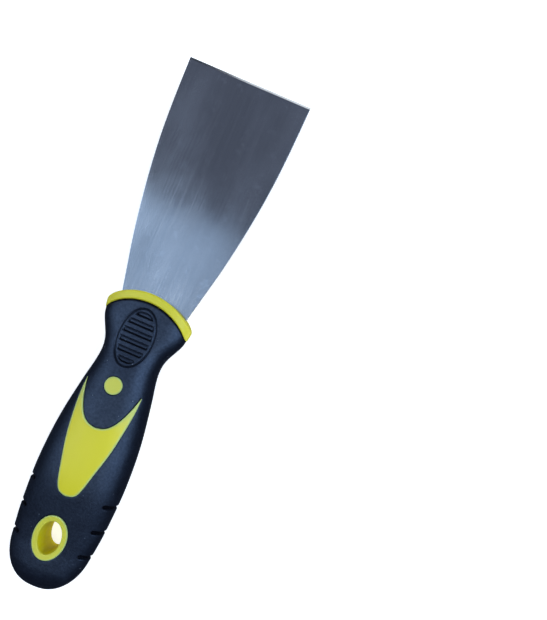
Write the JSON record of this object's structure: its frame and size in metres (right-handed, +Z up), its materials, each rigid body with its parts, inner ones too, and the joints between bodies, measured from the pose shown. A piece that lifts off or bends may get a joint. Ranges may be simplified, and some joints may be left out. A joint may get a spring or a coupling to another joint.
{
  "type": "flexible putty knife",
  "caption": "Flexible putty knife with a flaring steel blade, a two-colour soft-grip handle and an oval hang hole.",
  "frame": {"origin": "under the middle of the knife's box, on the surface that it lies on, face up", "axes": "+Y along the knife from the butt of the handle to the scraping edge, +Z up out of the face, +X to the right across the blade"},
  "size_m": [0.05, 0.2094, 0.024],
  "materials": {
    "blade_steel": "satin, brushed lengthwise",
    "core_plastic": "smooth satin moulding",
    "grip_rubber": "fine matt moulding"
  },
  "bodies": {
    "root": {"blade": "blade_steel", "core": "core_plastic", "grip": "grip_rubber"}
  },
  "joints": []
}
